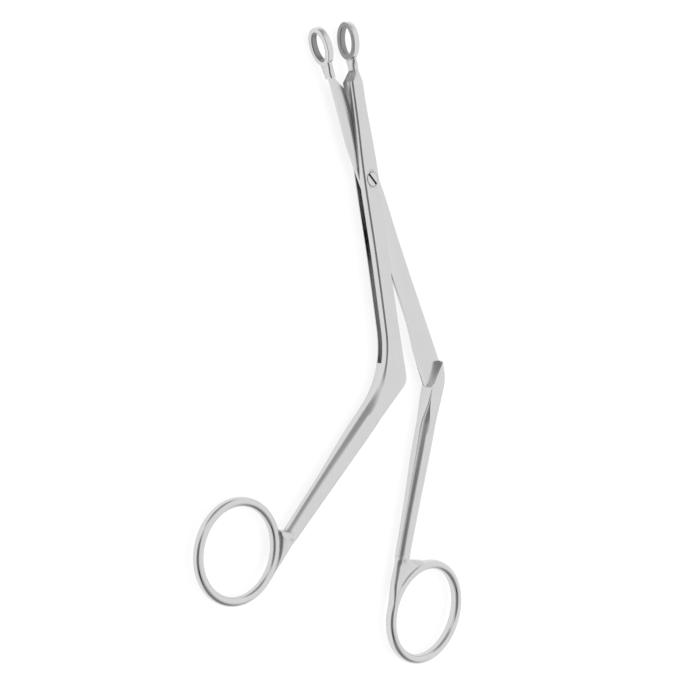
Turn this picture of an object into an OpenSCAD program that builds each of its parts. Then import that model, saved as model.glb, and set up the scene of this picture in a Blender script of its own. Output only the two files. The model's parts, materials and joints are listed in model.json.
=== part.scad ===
// Nasal septum forceps with ring jaws, 200 mm long.
// A slotted half and a blade half cross at a pivot screw. Drawn lying flat, jaws towards +Y.

/* [Body] */
// Middle of the jaws to the near face of both halves
near_t = 2.6; // [2.2:0.05:2.8]
// Middle of the jaws to the far face of both halves
far_t = 2.3; // [2:0.05:2.6]
// How far the narrow sides are crowned
side_crown = 0.3; // [0.1:0.05:0.5]
// Bevel between the narrow sides and the near face
edge_bevel = 0.45; // [0.2:0.05:0.6]
// Bevel between the narrow sides and the far face
far_bevel = 0.85; // [0.4:0.05:1]
// Angle between the halves as they lie, from jaws closed
open_angle = 12.6; // [4:0.2:20]

/* [Jaws] */
// Pivot to the tip of the jaws
jaw_reach = 45.4; // [42:0.2:52]
// Length of a jaw ring along the instrument
jaw_l = 10.8; // [9:0.2:13]
// Depth of a jaw ring across the instrument
jaw_d = 7.2; // [5.5:0.1:8]
// Width of the rim of a jaw ring
jaw_rim = 1.45; // [0.9:0.05:1.7]
// Thickness of a jaw ring
jaw_t = 2.2; // [1.4:0.05:2.4]
// Centreline of the slotted shank to the plane where the jaws meet
parting = 0.7; // [0.4:0.05:0.9]
// Gap between the closed jaw rings
jaw_gap = 0.2; // [0.1:0.02:0.4]
// Depth of the neck behind each jaw ring
neck_d = 3; // [2.6:0.1:4]

/* [Slotted half] */
// Width of the slot that the blade passes through
slot_w = 1.9; // [1.5:0.05:2.3]
// Near face to the slot
near_cheek_t = 1.85; // [1.6:0.05:2.1]
// Pivot to the front of the two cheeks
cheek_l = 28.3; // [24:0.1:30]
// Width of the shank at the pivot
pivot_w = 6.3; // [5.6:0.1:8]
// Narrowest width of the shank behind the pivot
waist_w = 5.6; // [4.4:0.1:6]
// Pivot to the narrowest place of the shank
waist_l = 24; // [18:1:30]
// Pivot to the outer corner of the elbow
slotted_elbow_l = 62.6; // [60:0.2:70]
// Width of the shank at the elbow
slotted_elbow_w = 6.8; // [6:0.1:8]
// Pivot to the square end of the slot, seen from the left
slot_rear_l = 54.4; // [52:0.2:56]
// Slope of the slotted half's handle below the horizontal
slotted_handle_slope = 33.8; // [30:0.2:38]

/* [Blade half] */
// Clearance between the blade and each cheek
blade_gap = 0.06; // [0.03:0.01:0.12]
// Pivot to the shoulder in front, where the blade thickens into its neck
shoulder_l = 31; // [30.6:0.1:32]
// Width of the blade on each side of the pivot
blade_pivot_w = 7.6; // [6.6:0.1:8.6]
// Pivot to the outer corner of the blade half's elbow
blade_elbow_l = 67.9; // [66:0.2:72]
// Width from the centreline to the outer corner of that elbow
blade_elbow_w = 6.8; // [6:0.1:9]
// Slope of the blade half's handle below the horizontal, jaws closed
blade_handle_slope = 51.3; // [48:0.2:55]

/* [Handles] */
// Width of the slotted half's handle behind its elbow
slotted_handle_w = 7.1; // [6:0.1:8]
// Width of the blade half's handle behind its elbow
blade_handle_w = 5.9; // [5.4:0.1:7]
// Width of both handles where they meet their finger rings
handle_end_w = 5.0; // [4.2:0.1:5.6]
// Thickness of both handles where they meet their finger rings
handle_end_t = 4.0; // [3.4:0.1:4.4]
// Elbow corner to the middle of the slotted half's finger ring, along the handle
slotted_ring_l = 74.6; // [70:0.2:82]
// Elbow corner to the middle of the blade half's finger ring, along the handle
blade_ring_l = 74.4; // [70:0.2:82]

/* [Finger rings] */
// Slotted half's ring, middle of the wire, across the instrument
slotted_ring_w = 25.4; // [23:0.2:28]
// Slotted half's ring, middle of the wire, along the instrument
slotted_ring_h = 26.8; // [25.6:0.2:30]
// Wire of the slotted half's ring
slotted_wire = 2.6; // [2.4:0.1:3.4]
// Blade half's ring, middle of the wire, across the instrument
blade_ring_w = 31.0; // [28.2:0.2:33]
// Blade half's ring, middle of the wire, along the instrument
blade_ring_h = 29.4; // [27:0.2:30.8]
// Wire of the blade half's ring
blade_wire = 2.9; // [2.6:0.1:3.6]
// Depth of the wire of the blade half's ring
blade_wire_d = 3.4; // [2.8:0.1:3.8]

/* [Pivot screw] */
// Diameter of the screw's shank
screw_d = 2.6; // [2:0.1:3]
// Diameter of the screw's head
head_d = 4.2; // [3.6:0.1:4.8]
// Depth that the head is let into the near cheek
head_seat = 0.6; // [0.4:0.05:0.8]
// How far the head stands proud of the cheek
head_proud = 0.15; // [0.05:0.05:0.3]
// Running clearance round the screw
screw_gap = 0.02; // [0.01:0.01:0.05]
// Width of the driver slot
driver_w = 0.55; // [0.4:0.05:0.8]
// Depth of the driver slot
driver_depth = 0.4; // [0.2:0.05:0.5]
// Direction of the driver slot
driver_angle = 128; // [0:1:180]

/* [Hidden] */
$fn = 64;
steel = "#c9cacc";
body_t = near_t + far_t;
blade_t = slot_w - 2 * blade_gap;
slot_top = near_t - near_cheek_t;
slot_low = slot_top - slot_w;
blade_low = slot_low + blade_gap;
cut_over = 1;
jaw_y = jaw_reach - jaw_l / 2;
rim_y = jaw_y - jaw_l / 2;
blade_open = [0, 0, open_angle];

// Directions along the two handles, and across them towards the other side
function along(slope) = [-cos(slope), -sin(slope)];
function across(slope) = [-sin(slope), cos(slope)];
function turned(p, a) = [p[0] * cos(a) - p[1] * sin(a), p[0] * sin(a) + p[1] * cos(a)];
function smooth(t) = let (c = max(0, min(1, t))) c * c * (3 - 2 * c);
function mix(a, b, t) = a + (b - a) * t;
function bend(a, b, c, t) = mix(mix(a, b, t), mix(b, c, t), t);
// Where the upright line x meets the handle's edge through q with the given slope
function meet(x, q, slope) = [x, q[1] + (x - q[0]) * tan(slope)];

// Places on the slotted half: its elbow, handle axis and finger ring
slotted_corner = [slotted_elbow_w / 2, -slotted_elbow_l];
slotted_axis = slotted_corner + across(slotted_handle_slope) * slotted_handle_w / 2;
slotted_tuck = 0.55;
slotted_ring_off = slotted_ring_h / 2 + slotted_wire / 2 - handle_end_w / 2 - slotted_tuck;
function slotted_at(a, off) =
    slotted_axis + along(slotted_handle_slope) * a + across(slotted_handle_slope) * off;
slotted_ring_at = slotted_at(slotted_ring_l, slotted_ring_off);

// Places on the blade half with the jaws closed
blade_corner = [blade_elbow_w, -blade_elbow_l];
blade_axis = blade_corner + across(blade_handle_slope) * blade_handle_w / 2;
blade_tuck = -0.45;
blade_ring_off = -(blade_ring_w / 2 + blade_wire / 2 - handle_end_w / 2 - blade_tuck);
function blade_at(a, off) =
    blade_axis + along(blade_handle_slope) * a + across(blade_handle_slope) * off;
blade_ring_at = blade_at(blade_ring_l, blade_ring_off);

// The lying instrument's box is centred on the origin, and its jaw rings touch the ground
blade_ring_open = turned(blade_ring_at, open_angle);
low_y = blade_ring_open[1] - blade_ring_h / 2 - blade_wire / 2;
low_x = slotted_ring_at[0] - slotted_ring_w / 2 - slotted_wire / 2;
elbow_round = 3;
blade_elbow_out = turned(blade_corner + [0, elbow_round * 0.8], open_angle);
high_x = blade_elbow_out[0] + side_crown;
origin_at = [-(low_x + high_x) / 2, -(low_y + jaw_reach) / 2, jaw_d / 2];

// One cross-section, running from the left edge to the right edge of the half.
// Its sides are crowned and bevelled; with roundness 1 it is an ellipse.
up_steps = [-1, -0.5, 0, 0.5, 1];
down_steps = [1, 0.5, 0, -0.5, -1];
side_angle = 38;
face_angle = 36;
function oval_point(w, low, top, a) = [w * cos(a), mix(low, top, (1 + sin(a)) / 2)];
function section(w, low, top, crown, cut_top, cut_low, round) =
    let (side_low = low + cut_low)
    let (side_top = top - cut_top)
    concat(
        [for (s = up_steps) mix(
            [w + crown * (1 - s * s), mix(side_low, side_top, (1 + s) / 2)],
            oval_point(w, low, top, side_angle * s), round)],
        [for (s = down_steps) mix([(w - cut_top) * s, top], oval_point(w, low, top,
            90 - face_angle * s), round)],
        [for (s = down_steps) mix(
            [-w - crown * (1 - s * s), mix(side_low, side_top, (1 + s) / 2)],
            oval_point(w, low, top, 180 - side_angle * s), round)],
        [for (s = up_steps) mix([(w - cut_low) * s, low], oval_point(w, low, top,
            270 + face_angle * s), round)]
    );
// A station is [left edge, right edge, low face, top face, roundness, share of the crown, low bevel]
function station_points(st) =
    let (mid = (st[0] + st[1]) / 2)
    let (span = st[1] - st[0])
    let (w = norm(span) / 2)
    let (dir = span / norm(span))
    let (cut_top = st[5] > 0 ? edge_bevel : neck_bevel)
    [for (p = section(w, st[2], st[3], side_crown * st[5], cut_top, st[6], st[4]))
        [mid[0] + dir[0] * p[0], mid[1] + dir[1] * p[0], p[1]]];

function middle(points) =
    [for (k = [0 : 2]) (min([for (p = points) p[k]]) + max([for (p = points) p[k]])) / 2];

// Skin over a list of stations, from the first to the last
module skin(stations) {
    rings = [for (st = stations) station_points(st)];
    m = len(rings[0]);
    n = len(rings);
    ends = [middle(rings[0]), middle(rings[n - 1])];
    faces = concat(
        [for (j = [0 : m - 1]) [n * m, j, (j + 1) % m]],
        [for (i = [0 : n - 2], j = [0 : m - 1])
            [i * m + j, (i + 1) * m + (j + 1) % m, i * m + (j + 1) % m]],
        [for (i = [0 : n - 2], j = [0 : m - 1])
            [i * m + j, (i + 1) * m + j, (i + 1) * m + (j + 1) % m]],
        [for (j = [0 : m - 1]) [n * m + 1, (n - 1) * m + (j + 1) % m, (n - 1) * m + j]]
    );
    polyhedron(concat([for (r = rings, p = r) p], ends), faces);
}

// Width of the slotted half's shank to the left and right of its centreline
neck_left = 2.7;
neck_right = 1.95;
swell_y = 2;
left_swell_l = 18;
right_swell_l = 24;
function shank_rear(y) =
    y > -waist_l
        ? mix(pivot_w, waist_w, smooth(-y / waist_l)) / 2
        : mix(waist_w, slotted_elbow_w, pow((-y - waist_l) / (slotted_elbow_l - waist_l), 2)) / 2;
function shank_left(y) =
    y > 0 ? mix(pivot_w / 2, neck_left, smooth((y - swell_y) / left_swell_l)) : shank_rear(y);
function shank_right(y) =
    y > 0 ? mix(pivot_w / 2, neck_right, smooth((y - swell_y) / right_swell_l)) : shank_rear(y);

// Front of the slotted half: the neck, and the slanting fronts of the cheeks
slant_l = 3.3;
rim_inset = 0.05;
jaw_in = jaw_gap / 2 - parting;
blade_jaw_in = -jaw_gap / 2 - parting;
jaw_root = rim_y + jaw_rim * 0.7;
root_d = jaw_d * 0.7;
throat_y = rim_y - 0.4;
throat_d = jaw_d * 0.58;
neck_in = jaw_in + 0.35;
neck_y = cheek_l + slant_l;
neck_t = 2.4;
neck_bevel = 0.25;
function neck_station(y, in, out, d) = [[in, y], [out, y], -d / 2, d / 2, 0, 0, neck_bevel];
function slotted_front() = [
    neck_station(jaw_root, neck_in, jaw_in + jaw_t - rim_inset, root_d),
    neck_station(throat_y, neck_in, jaw_in + jaw_t, throat_d),
    neck_station(mix(neck_y, rim_y, 0.5), neck_in, neck_in + neck_t, neck_d + 0.15),
    neck_station(neck_y, neck_in, neck_in + neck_t, neck_d),
    [[-neck_left, cheek_l], [neck_right, cheek_l], -far_t, near_t, 0, 1, far_bevel]
];
function slotted_shank() = [
    for (y = [24, 20, 16, 12, 8, 4, 0, -4, -8, -12, -16, -20, -24, -30, -36, -41])
        [[-shank_left(y), y], [shank_right(y), y], -far_t, near_t, 0, 1, far_bevel]
];

// Elbow of the slotted half: a long curve inside, a tight corner outside
elbow_y = -44.2;
inner_run = 14;
outer_round = 2.2;
inner_x = -shank_left(elbow_y);
inner_corner = meet(inner_x, slotted_at(0, slotted_handle_w / 2), slotted_handle_slope);
outer_run = 16.7;
function outer_path(t, start, corner, end, round) =
    let (before = corner + (start - corner) / norm(start - corner) * round)
    let (after = corner + (end - corner) / norm(end - corner) * round)
    t < 0.4 ? mix(start, before, t / 0.4)
    : t > 0.6 ? mix(after, end, (t - 0.6) / 0.4)
    : bend(before, corner, after, (t - 0.4) / 0.2);
function slotted_elbow() = [
    for (t = [0, 0.1, 0.2, 0.3, 0.4, 0.45, 0.5, 0.55, 0.6, 0.7, 0.8, 0.9, 1])
        [
            bend(
                [inner_x, elbow_y],
                inner_corner,
                inner_corner + along(slotted_handle_slope) * inner_run,
                t
            ),
            outer_path(
                t,
                [shank_right(elbow_y), elbow_y],
                slotted_corner,
                slotted_corner + along(slotted_handle_slope) * outer_run,
                outer_round
            ),
            -far_t, near_t, 0, 1, far_bevel
        ]
];

// Handles taper from the elbow to the finger ring and turn oval on the way
taper_start = 17;
slotted_handle_l = slotted_ring_l - slotted_ring_h / 2 * 1.03;
blade_handle_l = blade_ring_l - blade_ring_w / 2 * 1.01;
function handle_half_w(t, w) = mix(w, handle_end_w, pow(t, 1.6)) / 2;
function handle_face(t, face) = mix(face, handle_end_t / 2, smooth(t));
// Height of the web in the corner between the handle and its ring
function web_rise(k, off) = mix(handle_end_w / 2 + 0.6, abs(off), (1 - k) * 3.2);
// Height of the ring's wire centre over the handle's axis, a short of the ring's middle
function wire_rise(a, r, off) = off - sign(off) * sqrt(max(0, r * r - a * a));

handle_steps = [0.06, 0.2, 0.34, 0.48, 0.62, 0.75, 0.88, 1];
function slotted_handle() = [
    for (t = handle_steps)
        let (a = mix(taper_start, slotted_handle_l, t))
        let (w = handle_half_w(t, slotted_handle_w))
        [slotted_at(a, w), slotted_at(a, -w), -handle_face(t, far_t), handle_face(t, near_t),
            smooth(t / 0.8), 1, edge_bevel]
];
// Last stretch, where the handle's edge on the ring's side runs into the ring's wire
merge_steps = [0.985, 0.95, 0.9, 0.84, 0.74, 0.62, 0.48, 0.3, 0];
function slotted_merge() =
    let (r = slotted_ring_h / 2)
    [
        for (k = merge_steps)
            let (rise = min(wire_rise(k * r, r, slotted_ring_off), web_rise(k, slotted_ring_off)))
            let (drop = mix(-slotted_wire * 0.25 + rise, -handle_end_w / 2, smooth(k * 1.6 + 0.2)))
            let (t = mix(slotted_wire * 0.42, handle_end_t / 2, k))
            [slotted_at(slotted_ring_l - k * r, rise), slotted_at(slotted_ring_l - k * r, drop),
                -t, t, 1, 1, edge_bevel]
    ];

// Skin round a closed loop of sections, each a list of points
module loop_skin(rings) {
    m = len(rings[0]);
    n = len(rings);
    faces = [
        for (i = [0 : n - 1], j = [0 : m - 1])
            let (k = (i + 1) % n, l = (j + 1) % m)
            each [[i * m + j, i * m + l, k * m + l], [i * m + j, k * m + l, k * m + j]]
    ];
    polyhedron([for (r = rings, p = r) p], faces);
}

// Finger ring: an oval of round wire
ring_steps = 72;
wire_steps = 16;
module finger_ring(at, w, h, wire, wire_d) {
    loop_skin([
        for (i = [0 : ring_steps - 1])
            let (a = 360 * i / ring_steps)
            let (out = [cos(a) / w, sin(a) / h])
            let (dir = out / norm(out))
            [
                for (j = [0 : wire_steps - 1])
                    let (b = 360 * (j + 0.5) / wire_steps)
                    let (r = wire / 2 * cos(b))
                    [at[0] + w / 2 * cos(a) + dir[0] * r, at[1] + h / 2 * sin(a) + dir[1] * r,
                        wire_d / 2 * sin(b)]
            ]
    ]);
}

// Jaw ring: an upright oval with a bevelled rim, from x0 to x0 plus its thickness
jaw_steps = 48;
module jaw_ring(x0) {
    bevel = edge_bevel * 0.7;
    half_w = jaw_rim / 2;
    rim = [
        [-half_w + bevel, 0], [half_w - bevel, 0], [half_w, bevel], [half_w, jaw_t - bevel],
        [half_w - bevel, jaw_t], [-half_w + bevel, jaw_t], [-half_w, jaw_t - bevel], [-half_w, bevel]
    ];
    long = jaw_l / 2 - half_w;
    deep = jaw_d / 2 - half_w;
    loop_skin([
        for (i = [0 : jaw_steps - 1])
            let (a = 360 * i / jaw_steps)
            let (out = [cos(a) / long, sin(a) / deep])
            let (dir = out / norm(out))
            [
                for (p = rim)
                    [x0 + p[1], jaw_y + long * cos(a) + dir[0] * p[0],
                        deep * sin(a) + dir[1] * p[0]]
            ]
    ]);
}

// The slot: open at the front and left, square at the rear, open to the right past the elbow
slot_front = 30.9;
floor_x = -3.7;
floor_low_x = -2.1;
floor_low_y = -70;
module slot() {
    translate([0, 0, slot_low])
        linear_extrude(slot_w)
            polygon([
                [-12, slot_front], [12, slot_front], [12, floor_low_y], [floor_low_x, floor_low_y],
                [floor_x, -slot_rear_l], [-12, -slot_rear_l]
            ]);
}

module slotted_half() {
    color(steel)
        translate(origin_at) {
            difference() {
                union() {
                    skin(concat(
                        slotted_front(), slotted_shank(), slotted_elbow(),
                        slotted_handle(), slotted_merge()
                    ));
                    finger_ring(
                        slotted_ring_at, slotted_ring_w, slotted_ring_h, slotted_wire, slotted_wire
                    );
                    jaw_ring(jaw_in);
                }
                slot();
                translate([0, 0, -far_t - cut_over])
                    cylinder(d = screw_d + 2 * screw_gap, h = body_t + 2 * cut_over);
                translate([0, 0, near_t - head_seat])
                    cylinder(d = head_d + 2 * screw_gap, h = head_seat + cut_over);
            }
        }
}

// Outline of the blade with the jaws closed
blade_rear = blade_elbow_l - 5;
stem_in = parting;
stem_out = stem_in + 2.3;
stem_y = mix(shoulder_l, rim_y, 0.4);
blade_left = [
    [-1.3, -blade_elbow_l + 1.9], [-2.2, -55], [-1.4, -46], [-1.6, -38], [-1.9, -30], [-2.4, -12],
    [-3.5, 4], [-3.85, 12], [-3.4, 20], [-3.1, 26], [0.1 - stem_out, shoulder_l + 0.8]
];
blade_right = [
    [-stem_in - 0.1, shoulder_l + 0.8], [-stem_in - 0.1, 30.4], [1.3, 27.1], [2.2, 16],
    [blade_pivot_w / 2, 4], [blade_pivot_w / 2 + 1, -5], [5.1, -20], [5.6, -33], [6.3, -46.4],
    [blade_elbow_w + 0.1, -59], [blade_elbow_w + 0.3, -blade_rear],
    [blade_elbow_w - 0.6, -blade_elbow_l + 2.5], [0.8, -blade_elbow_l - 2]
];
module blade_plate() {
    translate([0, 0, blade_low])
        linear_extrude(blade_t)
            polygon(concat(blade_left, blade_right));
}

// Neck of the blade half, from its shoulder to the jaw ring
function blade_neck() = [
    neck_station(jaw_root, blade_jaw_in - jaw_t + rim_inset, blade_jaw_in - rim_inset, root_d),
    neck_station(throat_y, blade_jaw_in - jaw_t, blade_jaw_in - rim_inset, throat_d),
    neck_station(stem_y, -stem_out - 0.1, -stem_in - 0.05, neck_d + 0.15),
    neck_station(shoulder_l, -stem_out, -stem_in, neck_d)
];

// Elbow and handle of the blade half, from the slanting shoulder to the ring
shoulder_left = blade_at(5.4, blade_handle_w / 2);
shoulder_right = blade_corner + [0.3, 5.2];
function blade_elbow() =
    let (left_end = blade_at(taper_start, blade_handle_w / 2))
    let (right_end = blade_at(taper_start, -blade_handle_w / 2))
    concat(
        [[shoulder_left, shoulder_right, -far_t, near_t, 0, 1, far_bevel]],
        [for (t = [0.1, 0.2, 0.28, 0.34, 0.4, 0.45, 0.5, 0.55, 0.6, 0.7, 0.8, 0.9])
            [
                mix(shoulder_left, left_end, t),
                outer_path(t, shoulder_right, blade_corner, right_end, elbow_round),
                -far_t, near_t, 0, 1, far_bevel
            ]]
    );
function blade_handle() = [
    for (t = concat([0], handle_steps))
        let (a = mix(taper_start, blade_handle_l, t))
        let (w = handle_half_w(t, blade_handle_w))
        [blade_at(a, w), blade_at(a, -w), -handle_face(t, far_t), handle_face(t, near_t),
            0.7 * smooth(t / 0.8), 1, edge_bevel]
];
function blade_merge() =
    let (r = blade_ring_w / 2)
    [
        for (k = merge_steps)
            let (rise = max(wire_rise(k * r, r, blade_ring_off), -web_rise(k, blade_ring_off)))
            let (top = mix(blade_wire * 0.25 + rise, handle_end_w / 2, smooth(k * 1.6 + 0.2)))
            let (t = mix(blade_wire_d * 0.42, handle_end_t / 2, k))
            [blade_at(blade_ring_l - k * r, top), blade_at(blade_ring_l - k * r, rise),
                -t, t, 0.8, 1, edge_bevel]
    ];

// Web in the corner between the handle and the top of the ring
web_t = 2.4;
module blade_web() {
    r = blade_ring_w / 2;
    translate([0, 0, -web_t / 2])
        linear_extrude(web_t)
            polygon(concat(
                [
                    blade_at(blade_handle_l, 0), blade_at(blade_handle_l + 0.2, -handle_end_w / 2),
                    blade_at(blade_ring_l - r - 0.2, blade_ring_off * 0.6)
                ],
                [for (k = [0.93, 0.84, 0.7, 0.5])
                    blade_at(blade_ring_l - k * r, wire_rise(k * r, r, blade_ring_off))]
            ));
}

module blade_half() {
    color(steel)
        translate(origin_at)
            rotate(blade_open)
                difference() {
                    union() {
                        blade_plate();
                        skin(blade_neck());
                        jaw_ring(blade_jaw_in - jaw_t);
                        skin(concat(blade_elbow(), blade_handle(), blade_merge()));
                        blade_web();
                        finger_ring(blade_ring_at, blade_ring_w, blade_ring_h, blade_wire, blade_wire_d);
                    }
                    translate([0, 0, -far_t])
                        cylinder(d = screw_d + 2 * screw_gap, h = body_t);
                }
}

module pivot_screw() {
    head_h = head_seat + head_proud;
    color(steel)
        translate(origin_at)
            difference() {
                union() {
                    translate([0, 0, -far_t])
                        cylinder(d = screw_d, h = body_t - head_seat);
                    translate([0, 0, near_t - head_seat])
                        cylinder(d = head_d, h = head_h);
                }
                translate([0, 0, near_t + head_proud - driver_depth])
                    rotate([0, 0, driver_angle])
                        translate([-head_d, -driver_w / 2, 0])
                            cube([2 * head_d, driver_w, driver_depth + cut_over]);
            }
}

slotted_half();
blade_half();
pivot_screw();
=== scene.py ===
import json
import math
import bmesh
import bpy
import numpy as np
from mathutils import Matrix, Vector


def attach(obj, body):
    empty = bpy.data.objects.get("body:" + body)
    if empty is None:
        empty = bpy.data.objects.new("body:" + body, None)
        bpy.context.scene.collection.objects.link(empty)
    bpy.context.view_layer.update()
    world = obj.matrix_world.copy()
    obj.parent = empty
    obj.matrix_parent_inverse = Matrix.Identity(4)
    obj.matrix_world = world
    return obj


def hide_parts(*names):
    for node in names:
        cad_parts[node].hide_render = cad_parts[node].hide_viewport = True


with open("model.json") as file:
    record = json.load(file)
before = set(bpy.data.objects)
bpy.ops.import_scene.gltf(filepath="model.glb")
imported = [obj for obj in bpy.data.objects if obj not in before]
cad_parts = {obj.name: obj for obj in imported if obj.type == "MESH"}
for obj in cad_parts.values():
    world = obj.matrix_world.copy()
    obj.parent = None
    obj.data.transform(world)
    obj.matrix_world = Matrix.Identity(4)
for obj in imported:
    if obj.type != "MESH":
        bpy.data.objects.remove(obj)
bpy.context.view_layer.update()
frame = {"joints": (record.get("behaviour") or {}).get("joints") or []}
MM = 0.001

# The pivot's place in the part's own frame, and how far the jaws lie open
JOINT = frame["joints"][0]
PIVOT = np.array(JOINT["pos_m"]) / MM
OPEN_ANGLE = 12.6

# Sizes of the forceps in millimetres, pivot at the origin
NEAR_T = 2.6
FAR_T = 2.3
SIDE_CROWN = 0.3
EDGE_BEVEL = 0.45
FAR_BEVEL = 0.85
JAW_REACH = 45.4
JAW_L = 10.8
JAW_D = 7.2
JAW_RIM = 1.45
JAW_T = 2.2
PARTING = 0.7
JAW_IN = 0.1 - PARTING
BLADE_JAW_IN = -0.1 - PARTING
NECK_D = 3.0
NECK_T = 2.4
NECK_BEVEL = 0.4
NECK_ROUND = 0.55
NECK_WAIST_D = NECK_D + 0.15
SLOT_TOP = NEAR_T - 1.85
SLOT_LOW = SLOT_TOP - 1.9
BLADE_TOP = SLOT_TOP - 0.06
BLADE_LOW = SLOT_LOW + 0.06
CHEEK_L = 28.3
PIVOT_W = 6.3
WAIST_W = 5.6
WAIST_L = 24.0
SLOTTED_ELBOW_L = 62.6
SLOTTED_ELBOW_W = 6.8
SLOT_REAR = 54.4
SLOTTED_SLOPE = 33.8
SHOULDER_L = 31.0
BLADE_PIVOT_W = 7.6
BLADE_BEVEL = 1.0
BLADE_ELBOW_L = 67.9
BLADE_ELBOW_W = 6.8
BLADE_SLOPE = 51.3
SLOTTED_HANDLE_W = 7.1
HANDLE_BEVEL = 1.6
BLADE_HANDLE_W = 5.9
HANDLE_END_W = 5.0
HANDLE_END_T = 4.0
SLOTTED_RING_L = 74.6
BLADE_RING_L = 74.4
SLOTTED_RING = (25.4, 26.8, 2.6, 2.6)
BLADE_RING = (31.0, 29.4, 2.9, 3.4)
SLOTTED_TUCK = 0.55
BLADE_TUCK = -0.45
SCREW_D = 2.6
HEAD_D = 4.2
HEAD_SEAT = 0.6
HEAD_PROUD = 0.15
DRIVER_W = 0.75
DRIVER_DEPTH = 0.5
DRIVER_ANGLE = 128.0
DRIVER_REACH = 3
SHANK_CHAMFER = 0.15
HEAD_EDGE_R = 0.22
HOLE_GAP = 0.02
CUTTER_REACH = 5
EDGE_BREAK = 0.09
RIM_Y = JAW_REACH - JAW_L
JAW_Y = JAW_REACH - JAW_L / 2


def vec(*values):
    return np.array(values, float)


def along(slope):
    """The direction down a handle that leaves the elbow at the given slope."""
    a = math.radians(slope)
    return vec(-math.cos(a), -math.sin(a))


def across(slope):
    """The direction across such a handle, to its left."""
    a = math.radians(slope)
    return vec(-math.sin(a), math.cos(a))


def smooth(t):
    c = max(0.0, min(1.0, t))
    return c * c * (3 - 2 * c)


def mix(a, b, t):
    return a + (b - a) * t


def bend(a, b, c, t):
    """A point on the curve that leaves a towards b and reaches c from b."""
    return mix(mix(a, b, t), mix(b, c, t), t)


SLOTTED_CORNER = vec(SLOTTED_ELBOW_W / 2, -SLOTTED_ELBOW_L)
SLOTTED_AXIS = SLOTTED_CORNER + across(SLOTTED_SLOPE) * SLOTTED_HANDLE_W / 2
SLOTTED_RING_OFF = SLOTTED_RING[1] / 2 + SLOTTED_RING[2] / 2 - HANDLE_END_W / 2 - SLOTTED_TUCK
BLADE_CORNER = vec(BLADE_ELBOW_W, -BLADE_ELBOW_L)
BLADE_AXIS = BLADE_CORNER + across(BLADE_SLOPE) * BLADE_HANDLE_W / 2
BLADE_RING_OFF = -(BLADE_RING[0] / 2 + BLADE_RING[2] / 2 - HANDLE_END_W / 2 - BLADE_TUCK)


def slotted_at(a, off):
    """A place on the slotted handle: along its axis from the elbow, and off to its left."""
    return SLOTTED_AXIS + along(SLOTTED_SLOPE) * a + across(SLOTTED_SLOPE) * off


def blade_at(a, off):
    return BLADE_AXIS + along(BLADE_SLOPE) * a + across(BLADE_SLOPE) * off


SLOTTED_RING_AT = slotted_at(SLOTTED_RING_L, SLOTTED_RING_OFF)
BLADE_RING_AT = blade_at(BLADE_RING_L, BLADE_RING_OFF)

# Cross-sections: crowned sides, softly rounded bevels and flat faces
SIDE_STEPS = 8
CORNER_STEPS = 4
FACE_STEPS = 8
CORNER_SOFTNESS = 0.3


def bevel_corner(start, end, corner):
    """Points between the two ends of a bevel, a little fuller than a straight cut."""
    start, end, corner = vec(*start), vec(*end), vec(*corner)
    points = []
    for i in range(1, CORNER_STEPS):
        t = i / CORNER_STEPS
        points.append(mix(mix(start, end, t), bend(start, corner, end, t), CORNER_SOFTNESS))
    return points


def section(w, low, top, crown, cut_top, cut_low, round_share):
    """The whole cross-section; at a full round share it is an ellipse."""
    sides = []
    for i in range(SIDE_STEPS + 1):
        s = -1 + 2 * i / SIDE_STEPS
        sides.append(vec(w + crown * (1 - s * s), mix(low + cut_low, top - cut_top, (1 + s) / 2)))
    upper = [vec((w - cut_top) * (1 - 2 * i / FACE_STEPS), top) for i in range(FACE_STEPS + 1)]
    lower = [vec((cut_low - w) * (1 - 2 * i / FACE_STEPS), low) for i in range(FACE_STEPS + 1)]
    top_corner = bevel_corner(sides[-1], upper[0], (w, top))
    low_corner = bevel_corner(lower[-1], sides[0], (w, low))
    flip = vec(-1, 1)
    points = sides + top_corner + upper + [p * flip for p in reversed(top_corner)]
    points += [p * flip for p in reversed(sides)] + [p * flip for p in reversed(low_corner)]
    whole = np.array(points + lower + low_corner)
    middle, half = (low + top) / 2, (top - low) / 2
    angle = np.arctan2((whole[:, 1] - middle) / half, whole[:, 0] / w)
    oval = np.stack([w * np.cos(angle), middle + half * np.sin(angle)], 1)
    return mix(whole, oval, round_share)


def station(left, right, low, top, round_share=0.0, crown_share=1.0, cut_top=EDGE_BEVEL, cut_low=FAR_BEVEL):
    """A cross-section set upright over the line from its left to its right edge."""
    left = vec(*left)
    right = vec(*right)
    middle = (left + right) / 2
    span = right - left
    width = np.linalg.norm(span)
    direction = span / width
    flat = section(width / 2, low, top, SIDE_CROWN * crown_share, cut_top, cut_low, round_share)
    return np.column_stack([
        middle[0] + direction[0] * flat[:, 0],
        middle[1] + direction[1] * flat[:, 0],
        flat[:, 1],
    ])


def new_object(name, bm):
    mesh = bpy.data.meshes.new(name)
    bmesh.ops.recalc_face_normals(bm, faces=bm.faces)
    bm.to_mesh(mesh)
    bm.free()
    obj = bpy.data.objects.new(name, mesh)
    bpy.context.scene.collection.objects.link(obj)
    return obj


def skin(name, rings, closed=False):
    """Skin over rings of points, capped at both ends unless the rings make a loop."""
    bm = bmesh.new()
    loops = [[bm.verts.new(p) for p in ring] for ring in rings]
    m = len(loops[0])
    pairs = list(zip(loops, loops[1:]))
    if closed:
        pairs.append((loops[-1], loops[0]))
    for a, b in pairs:
        for j in range(m):
            k = (j + 1) % m
            bm.faces.new((a[j], a[k], b[k], b[j]))
    if not closed:
        bm.faces.new(loops[0])
        bm.faces.new(list(reversed(loops[-1])))
    return new_object(name, bm)


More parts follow.
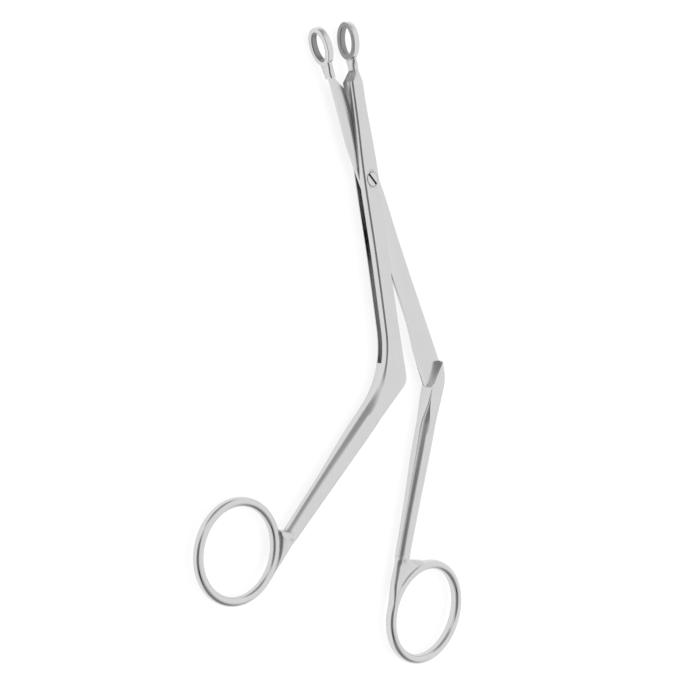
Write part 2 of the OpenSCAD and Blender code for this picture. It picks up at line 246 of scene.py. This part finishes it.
def prism(name, outline, low, high):
    bm = bmesh.new()
    lower = [bm.verts.new((x, y, low)) for x, y in outline]
    upper = [bm.verts.new((x, y, high)) for x, y in outline]
    bm.faces.new(list(reversed(lower)))
    bm.faces.new(upper)
    m = len(outline)
    for j in range(m):
        k = (j + 1) % m
        bm.faces.new((lower[j], lower[k], upper[k], upper[j]))
    return new_object(name, bm)


def disc_profile(name, profile, steps=96):
    """A turned piece: the profile's (radius, height) points carried round the Z axis."""
    rings = []
    for i in range(steps):
        a = 2 * math.pi * i / steps
        rings.append([(r * math.cos(a), r * math.sin(a), z) for r, z in profile])
    bm = bmesh.new()
    loops = [[bm.verts.new(p) for p in ring] for ring in rings]
    for i in range(steps):
        a, b = loops[i], loops[(i + 1) % steps]
        for j in range(len(profile) - 1):
            bm.faces.new((a[j], b[j], b[j + 1], a[j + 1]))
    bm.faces.new([loop[0] for loop in reversed(loops)])
    bm.faces.new([loop[-1] for loop in loops])
    return new_object(name, bm)


def finished(obj):
    """The object with its modifiers applied, as a plain mesh."""
    graph = bpy.context.evaluated_depsgraph_get()
    mesh = bpy.data.meshes.new_from_object(obj.evaluated_get(graph))
    obj.modifiers.clear()
    old = obj.data
    obj.data = mesh
    bpy.data.meshes.remove(old)
    return obj


def cut(obj, tool, operation="DIFFERENCE"):
    step = obj.modifiers.new("cut", "BOOLEAN")
    step.operation = operation
    step.solver = "EXACT"
    step.object = tool
    finished(obj)
    bpy.data.objects.remove(tool)
    return obj


def join(obj, *others):
    for other in others:
        cut(obj, other, "UNION")
    return obj


def cut_hole(obj, diameter, low):
    """A round hole about the pivot, from the given height up."""
    r = diameter / 2 + HOLE_GAP
    return cut(obj, disc_profile("hole", [(r, low), (r, CUTTER_REACH)]))


BREAK_ANGLE = 50.0
SMOOTH_ANGLE = 32.0


def broken_edges(obj, width):
    """Break the sharp edges that cutting leaves, as polishing does."""
    step = obj.modifiers.new("edges", "BEVEL")
    step.width = width
    step.segments = 2
    step.limit_method = "ANGLE"
    step.angle_limit = math.radians(BREAK_ANGLE)
    step.use_clamp_overlap = True
    step.harden_normals = False
    return finished(obj)


def shaded(obj):
    """Smooth shading that leaves true edges sharp."""
    obj.data.polygons.foreach_set("use_smooth", [True] * len(obj.data.polygons))
    obj.data.set_sharp_from_angle(angle=math.radians(SMOOTH_ANGLE))
    return obj


def mark_ground(obj, rule):
    """Faces that get painted shade, marked for a darker colour and a rougher finish than the polished ones.
    """
    values = [float(rule(f.center, f.normal)) for f in obj.data.polygons]
    # Painted shade: the faces this rule picks are darkened in the steel's colour.
    layer = obj.data.attributes.new("ground", "FLOAT", "FACE")
    layer.data.foreach_set("value", values)
    return obj


def in_jaw_ring(centre, normal, grip_x):
    """The grasping face of a jaw ring and the wall of its hole, which get painted shade."""
    if centre.y < RIM_Y:
        return False
    inward = centre.z * normal.z + (centre.y - JAW_Y) * normal.y < -0.3
    return inward or (abs(normal.x) > 0.9 and abs(centre.x - grip_x) < 0.1)


def placed(obj, degrees=0.0):
    """Turn the half about the pivot, and move it to its place in the part's frame."""
    turn = Matrix.Rotation(math.radians(degrees), 4, "Z")
    obj.data.transform(Matrix.Translation(Vector(PIVOT * MM)) @ turn @ Matrix.Scale(MM, 4))
    return obj


# The slotted half
NECK_LEFT = 2.7
NECK_RIGHT = 1.95
SLANT_L = 3.3
RIM_INSET = 0.05
ROOT_D = JAW_D * 0.54
THROAT_D = JAW_D * 0.53
THROAT_Y = RIM_Y - 0.4
JAW_ROOT = RIM_Y + JAW_RIM * 0.7
NECK_IN = JAW_IN + 0.35
NECK_Y = CHEEK_L + SLANT_L


# Where the shank starts to narrow ahead of the pivot, and over what length on each side
FRONT_START = 2
LEFT_TAPER_L = 18
RIGHT_TAPER_L = 24


def shank_rear(y):
    """Half the shank's width behind the pivot."""
    if y > -WAIST_L:
        return mix(PIVOT_W, WAIST_W, smooth(-y / WAIST_L)) / 2
    t = (-y - WAIST_L) / (SLOTTED_ELBOW_L - WAIST_L)
    return mix(WAIST_W, SLOTTED_ELBOW_W, t ** 2) / 2


def shank_left(y):
    if y <= 0:
        return shank_rear(y)
    return mix(PIVOT_W / 2, NECK_LEFT, smooth((y - FRONT_START) / LEFT_TAPER_L))


def shank_right(y):
    if y <= 0:
        return shank_rear(y)
    return mix(PIVOT_W / 2, NECK_RIGHT, smooth((y - FRONT_START) / RIGHT_TAPER_L))


def neck_station(y, inner, outer, depth):
    """A station across a neck, even about the middle plane."""
    return [(inner, y), (outer, y), -depth / 2, depth / 2, NECK_ROUND, 0.0, NECK_BEVEL, NECK_BEVEL]


def between(first, last, steps):
    """Stations between two, with the sizes going evenly from one to the other."""
    rows = []
    for i in range(steps):
        t = i / steps
        rows.append([mix(np.asarray(a, float), np.asarray(b, float), t) for a, b in zip(first, last)])
    return rows


def slotted_front():
    root = neck_station(JAW_ROOT, NECK_IN, JAW_IN + JAW_T - RIM_INSET, ROOT_D)
    throat = neck_station(THROAT_Y, NECK_IN, JAW_IN + JAW_T, THROAT_D)
    waist = neck_station(mix(NECK_Y, RIM_Y, 0.5), NECK_IN, NECK_IN + NECK_T, NECK_WAIST_D)
    neck = neck_station(NECK_Y, NECK_IN, NECK_IN + NECK_T, NECK_D)
    cheek = [(-NECK_LEFT, CHEEK_L), (NECK_RIGHT, CHEEK_L), -FAR_T, NEAR_T, 0.0, 1.0, EDGE_BEVEL, FAR_BEVEL]
    rows = between(root, throat, 2) + between(throat, waist, 6) + between(waist, neck, 5)
    return rows + between(neck, cheek, 6) + [cheek]


SHANK_FRONT = 26.8
SHANK_REAR = -42.5
SHANK_STEPS = 48


def slotted_shank():
    return [
        [(-shank_left(y), y), (shank_right(y), y), -FAR_T, NEAR_T]
        for y in np.linspace(SHANK_FRONT, SHANK_REAR, SHANK_STEPS)
    ]


ELBOW_Y = -44.2
INNER_BEND_L = 14
OUTER_BEND_L = 16.7
SLOTTED_BEND_R = 2.2
BLADE_BEND_R = 3.0
INNER_X = -shank_left(ELBOW_Y)
SLOTTED_EDGE = slotted_at(0, SLOTTED_HANDLE_W / 2)
INNER_CORNER = vec(
    INNER_X,
    SLOTTED_EDGE[1] + (INNER_X - SLOTTED_EDGE[0]) * math.tan(math.radians(SLOTTED_SLOPE)),
)


# Shares of the way round an elbow's outer side: straight, the bend, straight
BEND_START = 0.4
BEND_END = 0.6
BEND_SPAN = 0.2


def outer_path(t, start, corner, end, radius):
    """The outer side of an elbow, rounded at its corner."""
    before = corner + (start - corner) / np.linalg.norm(start - corner) * radius
    after = corner + (end - corner) / np.linalg.norm(end - corner) * radius
    if t < BEND_START:
        return mix(start, before, t / BEND_START)
    if t > BEND_END:
        return mix(after, end, (t - BEND_END) / BEND_START)
    return bend(before, corner, after, (t - BEND_START) / BEND_SPAN)


def elbow_steps(count, last):
    """Shares of the way round an elbow, closer together in the bend."""
    before = list(np.linspace(0, BEND_START, count))
    return before + list(np.linspace(0.42, 0.58, 9)) + list(np.linspace(BEND_END, last, count))


def widening(t, start):
    """The near bevel's width, which grows past the bend."""
    return mix(EDGE_BEVEL, HANDLE_BEVEL, smooth((t - start) / (1 - start)))


def slotted_elbow():
    start = vec(shank_right(ELBOW_Y), ELBOW_Y)
    slope = along(SLOTTED_SLOPE)
    outer_end = SLOTTED_CORNER + slope * OUTER_BEND_L
    return [
        [
            bend(vec(INNER_X, ELBOW_Y), INNER_CORNER, INNER_CORNER + slope * INNER_BEND_L, t),
            outer_path(t, start, SLOTTED_CORNER, outer_end, SLOTTED_BEND_R),
            -FAR_T, NEAR_T, 0.0, 1.0, widening(t, 0.3),
        ]
        for t in elbow_steps(13, 1)
    ]


TAPER_START = 17.0
TAPER_POWER = 1.6
FAR_BEVEL_FADE = 3
OVAL_FROM = 0.7
SLOTTED_HANDLE_L = SLOTTED_RING_L - SLOTTED_RING[1] / 2 * 1.03
BLADE_HANDLE_L = BLADE_RING_L - BLADE_RING[0] / 2 * 1.01
HANDLE_SHARES = np.linspace(0.04, 1, 34)


def handle_station(t, at, length, width, full_round):
    """A station part of the way along a handle, which tapers and turns oval on the way."""
    a = mix(TAPER_START, length, t)
    w = mix(width, HANDLE_END_W, t ** TAPER_POWER) / 2
    low = mix(FAR_T, HANDLE_END_T / 2, smooth(t))
    top = mix(NEAR_T, HANDLE_END_T / 2, smooth(t))
    far_cut = mix(FAR_BEVEL, EDGE_BEVEL, smooth(t * FAR_BEVEL_FADE))
    oval = full_round * smooth(t / OVAL_FROM)
    return [at(a, w), at(a, -w), -low, top, oval, 1.0, HANDLE_BEVEL, far_cut]


WEB_RISE = 0.6
WEB_SPREAD = 3.2
WIRE_OVERLAP = 0.25
MERGE_T = 0.42


def web_rise(k, off):
    """Height of the web in the corner between a handle and its ring."""
    return mix(HANDLE_END_W / 2 + WEB_RISE, abs(off), (1 - k) * WEB_SPREAD)


def merge_share(k):
    """How much of the handle's own side is left on the way into the ring."""
    return smooth(k * 1.6 + 0.2)


def wire_rise(a, r, off):
    """Height of a ring's wire above the handle's axis, a along it from the ring's middle."""
    return off - math.copysign(math.sqrt(max(0.0, r * r - a * a)), off)


def slotted_handle():
    return [handle_station(t, slotted_at, SLOTTED_HANDLE_L, SLOTTED_HANDLE_W, 1.0) for t in HANDLE_SHARES]


MERGE_STEPS = np.linspace(0.985, 0.0, 24)


def slotted_merge():
    r = SLOTTED_RING[1] / 2
    wire = SLOTTED_RING[2]
    rows = []
    for k in MERGE_STEPS:
        rise = min(wire_rise(k * r, r, SLOTTED_RING_OFF), web_rise(k, SLOTTED_RING_OFF))
        drop = mix(-wire * WIRE_OVERLAP + rise, -HANDLE_END_W / 2, merge_share(k))
        half_t = mix(wire * MERGE_T, HANDLE_END_T / 2, k)
        a = SLOTTED_RING_L - k * r
        edges = [slotted_at(a, rise), slotted_at(a, drop)]
        rows.append(edges + [-half_t, half_t, 1.0, 1.0, EDGE_BEVEL, EDGE_BEVEL])
    return rows


RING_STEPS = 160
WIRE_STEPS = 28
WIRE_POWER = 2.35


def wire_section(wire, depth):
    """A wire that filing has left a little square."""
    points = []
    for j in range(WIRE_STEPS):
        b = 2 * math.pi * (j + 0.5) / WIRE_STEPS
        c, s = math.cos(b), math.sin(b)
        size = (abs(c) ** WIRE_POWER + abs(s) ** WIRE_POWER) ** (-1 / WIRE_POWER)
        points.append((wire / 2 * c * size, depth / 2 * s * size))
    return points


def finger_ring(name, at, size):
    w, h, wire, depth = size
    rings = []
    for i in range(RING_STEPS):
        a = 2 * math.pi * i / RING_STEPS
        out = vec(math.cos(a) / w, math.sin(a) / h)
        out = out / np.linalg.norm(out)
        centre = at + vec(w / 2 * math.cos(a), h / 2 * math.sin(a))
        rings.append([(*(centre + out * r), z) for r, z in wire_section(wire, depth)])
    return skin(name, rings, closed=True)


JAW_EDGE_R = 0.28
JAW_STEPS = 120


def jaw_ring(name, x0):
    """An upright oval with its rim's edges rounded over."""
    edge = JAW_EDGE_R
    half_w = JAW_RIM / 2
    long = JAW_L / 2 - half_w
    deep = JAW_D / 2 - half_w
    rim = []
    for cx, cy, start in (
        (half_w - edge, edge, -90), (half_w - edge, JAW_T - edge, 0),
        (edge - half_w, JAW_T - edge, 90), (edge - half_w, edge, 180),
    ):
        for i in range(5):
            a = math.radians(start + 90 * i / 4)
            rim.append((cx + edge * math.cos(a), cy + edge * math.sin(a)))
    rings = []
    for i in range(JAW_STEPS):
        a = 2 * math.pi * i / JAW_STEPS
        out = vec(math.cos(a) / long, math.sin(a) / deep)
        out = out / np.linalg.norm(out)
        rings.append([
            (x0 + x, JAW_Y + long * math.cos(a) + out[0] * r, deep * math.sin(a) + out[1] * r)
            for r, x in rim
        ])
    return skin(name, rings, closed=True)


def rings_of(rows):
    return [station(*row) for row in rows]


def slotted_ground(centre, normal):
    """Where the slotted half gets painted shade: the cheeks' slanting fronts and the grasping side of the
    jaw.
    """
    front = CHEEK_L < centre.y < NECK_Y and normal.x < -0.2 and abs(normal.z) < 0.5
    return front or in_jaw_ring(centre, normal, JAW_IN)


# The slot's cutter: how far it stands out at the sides, and its two ends
SLOT_OUT = 12
SLOT_FRONT = 30.9
SLOT_OPEN_L = 70


def slotted_half():
    rows = slotted_front() + slotted_shank() + slotted_elbow() + slotted_handle() + slotted_merge()
    half = skin("slotted_half_body", rings_of(rows))
    slot = prism(
        "slot",
        [
            (-SLOT_OUT, -SLOT_REAR), (-3.7, -SLOT_REAR), (-2.1, -SLOT_OPEN_L), (SLOT_OUT, -SLOT_OPEN_L),
            (SLOT_OUT, SLOT_FRONT), (-SLOT_OUT, SLOT_FRONT),
        ],
        SLOT_LOW, SLOT_TOP,
    )
    cut(half, slot)
    cut_hole(half, SCREW_D, -CUTTER_REACH)
    cut_hole(half, HEAD_D, NEAR_T - HEAD_SEAT)
    join(half, finger_ring("ring", SLOTTED_RING_AT, SLOTTED_RING), jaw_ring("jaw", JAW_IN))
    broken_edges(half, EDGE_BREAK)
    mark_ground(half, slotted_ground)
    return placed(shaded(half))


# The blade half
STEM_IN = PARTING
STEM_OUT = STEM_IN + 2.3
STEM_Y = mix(SHOULDER_L, RIM_Y, 0.4)
SHOULDER_LEFT = blade_at(5.4, BLADE_HANDLE_W / 2)
SHOULDER_RIGHT = BLADE_CORNER + vec(0.3, 5.2)


def spline(points, steps=6):
    """A smooth line through the points."""
    out = []
    pts = [vec(*p) for p in points]
    for i in range(len(pts) - 1):
        a = pts[max(0, i - 1)]
        b = pts[i]
        c = pts[i + 1]
        d = pts[min(len(pts) - 1, i + 2)]
        for k in range(steps):
            t = k / steps
            out.append(tuple(
                b + (c - a) * t / 2 + (a - 2.5 * b + 2 * c - d / 2) * t ** 2
                + (1.5 * b - a / 2 - 1.5 * c + d / 2) * t ** 3
            ))
    out.append(tuple(pts[-1]))
    return out


def blade_plate():
    """The flat blade, bevelled on its far side along the left edge."""
    half = BLADE_PIVOT_W / 2
    left = [(-1.3, -BLADE_ELBOW_L + 0.4), (-2.2, -55)] + spline([
        (-1.4, -46), (-1.6, -38), (-1.9, -30), (-2.4, -12), (-3.5, 4), (-3.85, 12), (-3.4, 20),
        (-3.1, 26), (0.1 - STEM_OUT, SHOULDER_L + 0.8),
    ])
    front = [(-STEM_IN - 0.1, SHOULDER_L + 0.8), (-STEM_IN - 0.1, 30.4)]
    right = spline([
        (1.3, 27.1), (2.2, 16), (half, 4), (half + 1, -5), (5.1, -20), (5.6, -33), (6.3, -46.4),
        (BLADE_ELBOW_W + 0.1, -59), (BLADE_ELBOW_W + 0.3, -BLADE_ELBOW_L + 5),
    ])
    rear = [(BLADE_ELBOW_W - 0.6, -BLADE_ELBOW_L + 2.5), (0.8, -BLADE_ELBOW_L - 2)]
    last = len(left) - 1
    inset = [(x + BLADE_BEVEL * min(1, i, last - i), y) for i, (x, y) in enumerate(left)]
    rest = front + right + rear
    levels = ((inset, BLADE_LOW), (left, BLADE_LOW + BLADE_BEVEL), (left, BLADE_TOP))
    return skin("blade_half_body", [[(x, y, z) for x, y in edge + rest] for edge, z in levels])


def blade_neck():
    outer = BLADE_JAW_IN - JAW_T
    root = neck_station(JAW_ROOT, outer + RIM_INSET, BLADE_JAW_IN - RIM_INSET, ROOT_D)
    throat = neck_station(THROAT_Y, outer, BLADE_JAW_IN - RIM_INSET, THROAT_D)
    waist = neck_station(STEM_Y, -STEM_OUT - 0.1, -STEM_IN - 0.05, NECK_WAIST_D)
    stem = neck_station(SHOULDER_L, -STEM_OUT, -STEM_IN, NECK_D)
    return between(root, throat, 2) + between(throat, waist, 6) + between(waist, stem, 5) + [stem]


def blade_elbow():
    left_end = blade_at(TAPER_START, BLADE_HANDLE_W / 2)
    right_end = blade_at(TAPER_START, -BLADE_HANDLE_W / 2)
    return [
        [
            mix(SHOULDER_LEFT, left_end, t),
            outer_path(t, SHOULDER_RIGHT, BLADE_CORNER, right_end, BLADE_BEND_R),
            -FAR_T, NEAR_T, 0.0, mix(0.1, 1.0, smooth(t * 4)), widening(t, 0.0),
        ]
        for t in elbow_steps(10, 0.98)
    ]


def blade_handle():
    return [handle_station(t, blade_at, BLADE_HANDLE_L, BLADE_HANDLE_W, 0.7) for t in HANDLE_SHARES]


def blade_merge():
    r = BLADE_RING[0] / 2
    wire, depth = BLADE_RING[2:]
    rows = []
    for k in MERGE_STEPS:
        rise = max(wire_rise(k * r, r, BLADE_RING_OFF), -web_rise(k, BLADE_RING_OFF))
        top = mix(wire * WIRE_OVERLAP + rise, HANDLE_END_W / 2, merge_share(k))
        half_t = mix(depth * MERGE_T, HANDLE_END_T / 2, k)
        a = BLADE_RING_L - k * r
        edges = [blade_at(a, top), blade_at(a, rise)]
        rows.append(edges + [-half_t, half_t, 0.8, 1.0, EDGE_BEVEL, EDGE_BEVEL])
    return rows


WEB_T = 2.4


def blade_web():
    """The web in the corner between the handle and the top of the ring."""
    r = BLADE_RING[0] / 2
    outline = [
        blade_at(BLADE_HANDLE_L, 0), blade_at(BLADE_HANDLE_L + 0.2, -HANDLE_END_W / 2),
        blade_at(BLADE_RING_L - r - 0.2, BLADE_RING_OFF * 0.6),
    ]
    for k in (0.93, 0.84, 0.7, 0.5):
        outline.append(blade_at(BLADE_RING_L - k * r, wire_rise(k * r, r, BLADE_RING_OFF)))
    return prism("web", outline, -WEB_T / 2, WEB_T / 2)


SHOULDER_ALONG = (SHOULDER_RIGHT - SHOULDER_LEFT) / np.linalg.norm(SHOULDER_RIGHT - SHOULDER_LEFT)
SHOULDER_UP = vec(-SHOULDER_ALONG[1], SHOULDER_ALONG[0])


def blade_ground(centre, normal):
    """Where the blade half gets painted shade: the shoulder where the handle thickens, and the grasping
    side of the jaw.
    """
    away = np.dot(vec(centre.x, centre.y) - SHOULDER_LEFT, SHOULDER_UP)
    facing = np.dot(vec(normal.x, normal.y), SHOULDER_UP)
    shoulder = centre.z > BLADE_TOP and abs(away) < 0.3 and facing > 0.97
    return shoulder or in_jaw_ring(centre, normal, BLADE_JAW_IN)


def blade_half():
    half = blade_plate()
    handle = skin("handle", rings_of(blade_elbow() + blade_handle() + blade_merge()))
    neck = skin("neck", rings_of(blade_neck()))
    ring = finger_ring("ring", BLADE_RING_AT, BLADE_RING)
    join(half, handle, neck, jaw_ring("jaw", BLADE_JAW_IN - JAW_T), blade_web(), ring)
    cut_hole(half, SCREW_D, -CUTTER_REACH)
    broken_edges(half, EDGE_BREAK)
    mark_ground(half, blade_ground)
    return placed(shaded(half), OPEN_ANGLE)


def pivot_screw():
    """The screw: a head with a rounded rim and a driver slot, and a shank peened at its end."""
    top = NEAR_T + HEAD_PROUD
    seat = NEAR_T - HEAD_SEAT
    r = HEAD_D / 2
    rim = HEAD_EDGE_R
    profile = [
        (SCREW_D / 2 - SHANK_CHAMFER, -FAR_T), (SCREW_D / 2, -FAR_T + SHANK_CHAMFER),
        (SCREW_D / 2, seat), (r, seat),
    ]
    for i in range(7):
        a = math.pi / 2 * i / 6
        profile.append((r - rim + rim * math.cos(a), top - rim + rim * math.sin(a)))
    screw = disc_profile("pivot_screw_body", profile)
    driver = prism(
        "driver",
        [
            (-DRIVER_REACH, -DRIVER_W / 2), (DRIVER_REACH, -DRIVER_W / 2),
            (DRIVER_REACH, DRIVER_W / 2), (-DRIVER_REACH, DRIVER_W / 2),
        ],
        top - DRIVER_DEPTH, top + 1,
    )
    driver.data.transform(Matrix.Rotation(math.radians(DRIVER_ANGLE), 4, "Z"))
    cut(screw, driver)
    broken_edges(screw, 0.05)
    # Painted shade on the side of the screw head, between its seat and its top.
    mark_ground(screw, lambda centre, normal: NEAR_T - 0.4 < centre.z < top - 0.04)
    return placed(shaded(screw))


class Value:
    """A shader socket that takes part in Python sums."""

    def __init__(self, tree, socket):
        self.tree = tree
        self.socket = socket

    def node(self, kind, settings=None, inputs=None, output=0):
        made = self.tree.nodes.new(kind)
        for key, value in (settings or {}).items():
            setattr(made, key, value)
        for key, value in (inputs or {}).items():
            if isinstance(value, Value):
                self.tree.links.new(value.socket, made.inputs[key])
            else:
                made.inputs[key].default_value = value
        return Value(self.tree, made.outputs[output])

    def math(self, operation, a, b=0.0):
        return self.node("ShaderNodeMath", {"operation": operation}, {0: a, 1: b})

    def __add__(self, other):
        return self.math("ADD", self, other)

    def __radd__(self, other):
        return self.math("ADD", other, self)

    def __sub__(self, other):
        return self.math("SUBTRACT", self, other)

    def __rsub__(self, other):
        return self.math("SUBTRACT", other, self)

    def __mul__(self, other):
        return self.math("MULTIPLY", self, other)

    def __rmul__(self, other):
        return self.math("MULTIPLY", other, self)

    def clamp(self):
        return self.node("ShaderNodeClamp", {}, {0: self})


EDGE_GAIN = 1.5


def set_edge_attribute(obj, reach):
    """How much each point stands on an outer edge, for the wear that polishing leaves there; the value
    turns negative in inner creases, which get painted shade.
    """
    mesh = obj.data
    bm = bmesh.new()
    bm.from_mesh(mesh)
    bm.normal_update()
    values = []
    for v in bm.verts:
        seams = [e for e in v.link_edges if len(e.link_faces) == 2]
        bends = [e.calc_face_angle_signed(0.0) / max(e.calc_length(), reach) for e in seams]
        share = sum(bends) / max(1, len(bends)) * reach * EDGE_GAIN
        values.append(max(-1.0, min(1.0, share)))
    bm.free()
    layer = mesh.attributes.new("edge", "FLOAT", "POINT")
    layer.data.foreach_set("value", values)


STEEL_TONE = 0.65
STEEL_ROUGHNESS = 0.21
# Painted shade: how much darker the marked faces are painted.
PAINTED_SHADE_DARKER = 0.36
GRAIN_SCALE = 1000.0
CLOUD_SCALE = 140.0


def satin_steel(name, angle, stretch):
    """Satin stainless steel with its polishing grain along the given direction."""
    material = bpy.data.materials.new(name)
    material.use_nodes = True
    tree = material.node_tree
    bsdf = tree.nodes["Principled BSDF"]
    base = Value(tree, None)
    coords = base.node("ShaderNodeTexCoord", output=3)
    turned = base.node(
        "ShaderNodeMapping", {},
        {"Vector": coords, "Rotation": (0, 0, math.radians(angle)), "Scale": stretch},
    )
    grain = base.node(
        "ShaderNodeTexNoise", {},
        {"Vector": turned, "Scale": GRAIN_SCALE, "Detail": 3.0, "Roughness": 0.6},
    )
    cloud = base.node(
        "ShaderNodeTexNoise", {},
        {"Vector": coords, "Scale": CLOUD_SCALE, "Detail": 3.0, "Roughness": 0.55},
    )
    edge = base.node("ShaderNodeAttribute", {"attribute_name": "edge"}, output=2)
    # Painted shade on the marked faces, which are also made rougher further down.
    ground = base.node("ShaderNodeAttribute", {"attribute_name": "ground"}, output=2)
    wear = edge.clamp()
    # Painted shade in inner creases, where the edge value is negative.
    painted_crease_shade = (edge * -1.0).clamp()
    tone = STEEL_TONE + (grain - 0.5) * 0.025 + (cloud - 0.5) * 0.05
    # Painted shade: darker in inner creases and on the marked faces.
    tone = tone + wear * 0.1 - painted_crease_shade * 0.22 - ground * PAINTED_SHADE_DARKER
    colour = base.node(
        "ShaderNodeMix", {"data_type": "RGBA"},
        {0: tone.clamp(), 6: (0.0, 0.0, 0.0, 1.0), 7: (1.0, 1.0, 1.01, 1.0)}, output=2,
    )
    tree.links.new(colour.socket, bsdf.inputs["Base Color"])
    rough = STEEL_ROUGHNESS + (grain - 0.5) * 0.08 + (cloud - 0.5) * 0.08 - wear * 0.06 + ground * 0.14
    tree.links.new(rough.clamp().socket, bsdf.inputs["Roughness"])
    bump = base.node("ShaderNodeBump", {}, {"Strength": 0.07, "Distance": 0.00004, "Height": grain})
    tree.links.new(bump.socket, bsdf.inputs["Normal"])
    bsdf.inputs["Metallic"].default_value = 1.0
    return material


FLOOR_TONE = 0.3
FLOOR_GLOW = 0.78


def floor_material():
    """White paper that glows a little, so that shadows on it stay faint."""
    material = bpy.data.materials.new("floor_paper")
    material.use_nodes = True
    tree = material.node_tree
    bsdf = tree.nodes["Principled BSDF"]
    bsdf.inputs["Base Color"].default_value = (FLOOR_TONE, FLOOR_TONE, FLOOR_TONE, 1)
    bsdf.inputs["Emission Color"].default_value = (1, 1, 1, 1)
    bsdf.inputs["Emission Strength"].default_value = FLOOR_GLOW
    bsdf.inputs["Roughness"].default_value = 0.9
    bsdf.inputs["Specular IOR Level"].default_value = 0.1
    return material


def make_floor():
    size = 3.0
    corners = ((-size, -size, 0), (size, -size, 0), (size, size, 0), (-size, size, 0))
    bm = bmesh.new()
    bm.faces.new([bm.verts.new(p) for p in corners])
    floor = new_object("floor", bm)
    floor.data.materials.append(floor_material())
    if floor.data.polygons[0].normal.z < 0:
        floor.data.flip_normals()


WASH_PLACE = (0.2, -0.3, 1.6)
WASH_SIZE = 2.6
WASH_POWER = 15


def make_wash():
    """A broad soft light for the floor, which the steel doesn't mirror."""
    data = bpy.data.lights.new("floor_wash", "AREA")
    data.shape = "RECTANGLE"
    data.size = WASH_SIZE
    data.size_y = WASH_SIZE
    data.energy = WASH_POWER
    light = bpy.data.objects.new("floor_wash", data)
    light.location = WASH_PLACE
    light.visible_glossy = False
    light.rotation_mode = "QUATERNION"
    light.rotation_quaternion = (-Vector(WASH_PLACE)).to_track_quat("-Z", "Y")
    bpy.context.scene.collection.objects.link(light)


# The camera, found from the two finger rings' outlines in the photograph
YAW = 43.5
PITCH = 2.2
TILT = 11.2847
FOCAL_PX = 1000.0
SCALE = 0.2930
FRAME_PX = 700.0
SCREW_PX = (373.3, 179.1)
SCREW_SHIFT = 0.35


def make_camera():
    cy, sy = math.cos(math.radians(YAW)), math.sin(math.radians(YAW))
    cp, sp = math.cos(math.radians(PITCH)), math.sin(math.radians(PITCH))
    pitch = np.array([[1, 0, 0], [0, cp, -sp], [0, sp, cp]])
    yaw = np.array([[cy, 0, -sy], [0, 1, 0], [sy, 0, cy]])
    turn = pitch @ yaw
    right, down, out = turn @ vec(1, 0, 0), turn @ vec(0, 1, 0), turn @ vec(0, 0, -1)
    ct, st = math.cos(math.radians(TILT)), math.sin(math.radians(TILT))
    part_x = ct * right - st * down
    part_y = -(st * right + ct * down)
    part = np.stack([part_x, part_y, out])
    centre = vec(0, 0, FOCAL_PX) * SCALE
    ray = vec((SCREW_PX[0] - FRAME_PX / 2) / FOCAL_PX, (SCREW_PX[1] - FRAME_PX / 2) / FOCAL_PX, 1)
    level = centre + out * NEAR_T
    screw = ray * (out @ level) / (out @ ray)
    pivot = screw - part_x * SCREW_SHIFT - out * NEAR_T
    place = part @ (-pivot) + PIVOT
    axes = part @ np.array([[1, 0, 0], [0, -1, 0], [0, 0, -1]]).T
    matrix = Matrix.Identity(4)
    for i in range(3):
        for j in range(3):
            matrix[i][j] = axes[i][j]
        matrix[i][3] = place[i] * MM
    data = bpy.data.cameras.new("camera")
    data.sensor_width = 36
    data.lens = 36 * FOCAL_PX / FRAME_PX
    data.clip_start = 0.01
    camera = bpy.data.objects.new("camera", data)
    camera.matrix_world = matrix
    bpy.context.scene.collection.objects.link(camera)
    bpy.context.scene.camera = camera


# Dark patches of the studio: direction, half widths in degrees of the core and of the whole, and depth
DARK_PATCHES = (
    ((-0.72, -0.05, 0.69), 18, 44, 0.78),
    ((0.08, 0.92, 0.38), 16, 44, 0.6),
    ((-0.15, -0.87, 0.47), 16, 50, 0.72),
)
STUDIO_LEVEL = 1.0


def make_world():
    """A white studio with the dark places that steel needs to show its edges."""
    world = bpy.data.worlds.new("studio")
    world.use_nodes = True
    tree = world.node_tree
    background = tree.nodes["Background"]
    background.inputs["Color"].default_value = (1, 1, 1, 1)
    base = Value(tree, None)
    direction = base.node("ShaderNodeTexCoord")
    level = STUDIO_LEVEL
    for axis, core, reach, depth in DARK_PATCHES:
        unit = Vector(axis).normalized()
        facing = base.node(
            "ShaderNodeVectorMath", {"operation": "DOT_PRODUCT"}, {0: direction, 1: unit}, output=1,
        )
        outside, inside = math.cos(math.radians(reach)), math.cos(math.radians(core))
        patch = base.node(
            "ShaderNodeMapRange", {"interpolation_type": "SMOOTHSTEP"},
            {0: facing, 1: outside, 2: inside, 3: 0.0, 4: depth},
        )
        level = level - patch * STUDIO_LEVEL
    tree.links.new(level.clamp().socket, background.inputs["Strength"])
    bpy.context.scene.world = world


slotted = slotted_half()
blade = blade_half()
screw = pivot_screw()
for piece, angle in ((slotted, 0.0), (blade, -OPEN_ANGLE), (screw, 40.0)):
    set_edge_attribute(piece, 0.0003)
    piece.data.materials.clear()
    piece.data.materials.append(satin_steel("satin_" + piece.name, angle, (3.0, 0.25, 3.0)))
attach(slotted, "slotted")
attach(screw, "slotted")
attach(blade, "blade")
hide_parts("slotted_half")
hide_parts("pivot_screw")
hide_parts("blade_half")

make_floor()
make_world()
make_camera()
bpy.context.scene.view_settings.view_transform = "Standard"
make_wash()
